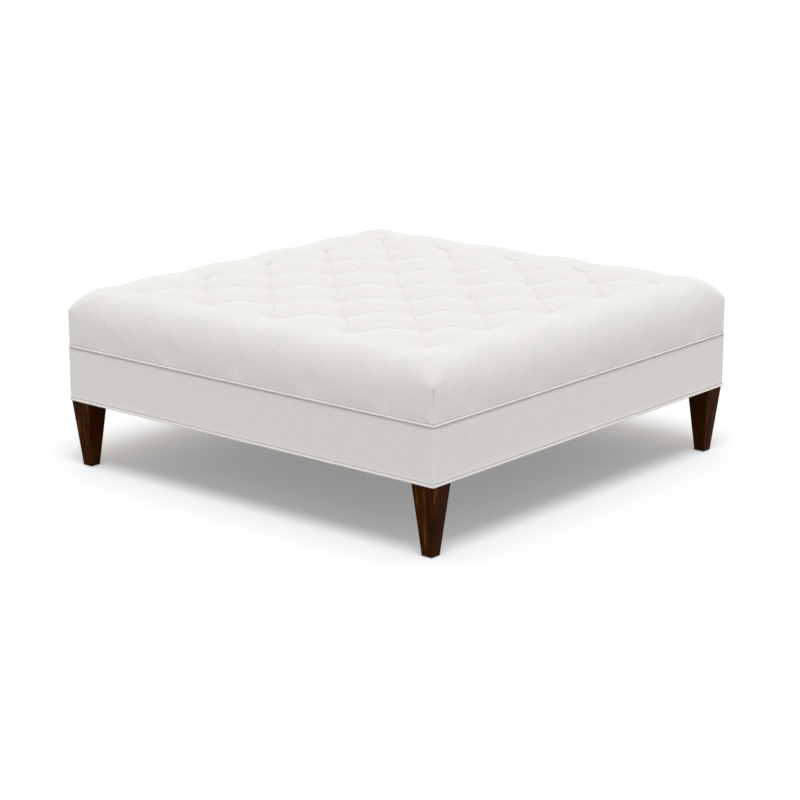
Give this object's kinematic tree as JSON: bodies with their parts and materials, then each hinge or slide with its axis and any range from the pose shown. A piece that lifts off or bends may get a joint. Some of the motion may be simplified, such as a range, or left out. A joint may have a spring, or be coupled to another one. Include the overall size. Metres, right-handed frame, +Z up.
{
  "type": "ottoman coffee table",
  "caption": "Square upholstered ottoman coffee table with a deep diamond-tufted top, piped edges, a padded band round the frame and tapered square wooden legs.",
  "frame": {"origin": "on the floor, below the middle of the table", "axes": "+Z up from the floor, the front faces -Y and the right side faces +X; the plan is square"},
  "size_m": [1.068, 1.068, 0.4215],
  "materials": {
    "cover_cloth": "off-white slubbed linen-look weave, soft and matt",
    "band_cloth": "off-white slubbed linen-look weave, drawn flat",
    "welt_cloth": "the cover cloth cut on the bias round a cord",
    "wadding": "white bonded polyester fibre",
    "foam": "pale yellow polyurethane foam, open cells",
    "dust_cloth": "black spun-bonded cloth",
    "twine": "waxed upholstery twine",
    "webbing": "folded jute webbing",
    "plywood": "unfinished plywood",
    "frame_timber": "planed softwood, unfinished",
    "walnut_stain": "dark walnut stain under satin lacquer",
    "zinc_steel": "zinc plated",
    "glide_steel": "nickel plated"
  },
  "bodies": {
    "root": {"tufted_cover": "cover_cloth", "fibre_wrap": "wadding", "foam_slab": "foam", "tufting_ties": "twine", "tie_tabs": "webbing", "deck_panel": "plywood", "mid_welt": "welt_cloth", "apron_band": "band_cloth", "apron_wadding": "wadding", "base_welt": "welt_cloth", "dust_cover": "dust_cloth", "front_rail": "frame_timber", "right_rail": "frame_timber", "back_rail": "frame_timber", "left_rail": "frame_timber", "left_cross_rail": "frame_timber", "right_cross_rail": "frame_timber", "post_front_left": "frame_timber", "post_front_right": "frame_timber", "post_back_left": "frame_timber", "post_back_right": "frame_timber", "threaded_inserts": "zinc_steel", "hanger_bolts": "zinc_steel", "leg_front_left": "walnut_stain", "leg_front_right": "walnut_stain", "leg_back_left": "walnut_stain", "leg_back_right": "walnut_stain", "leg_glides": "glide_steel"}
  },
  "joints": []
}
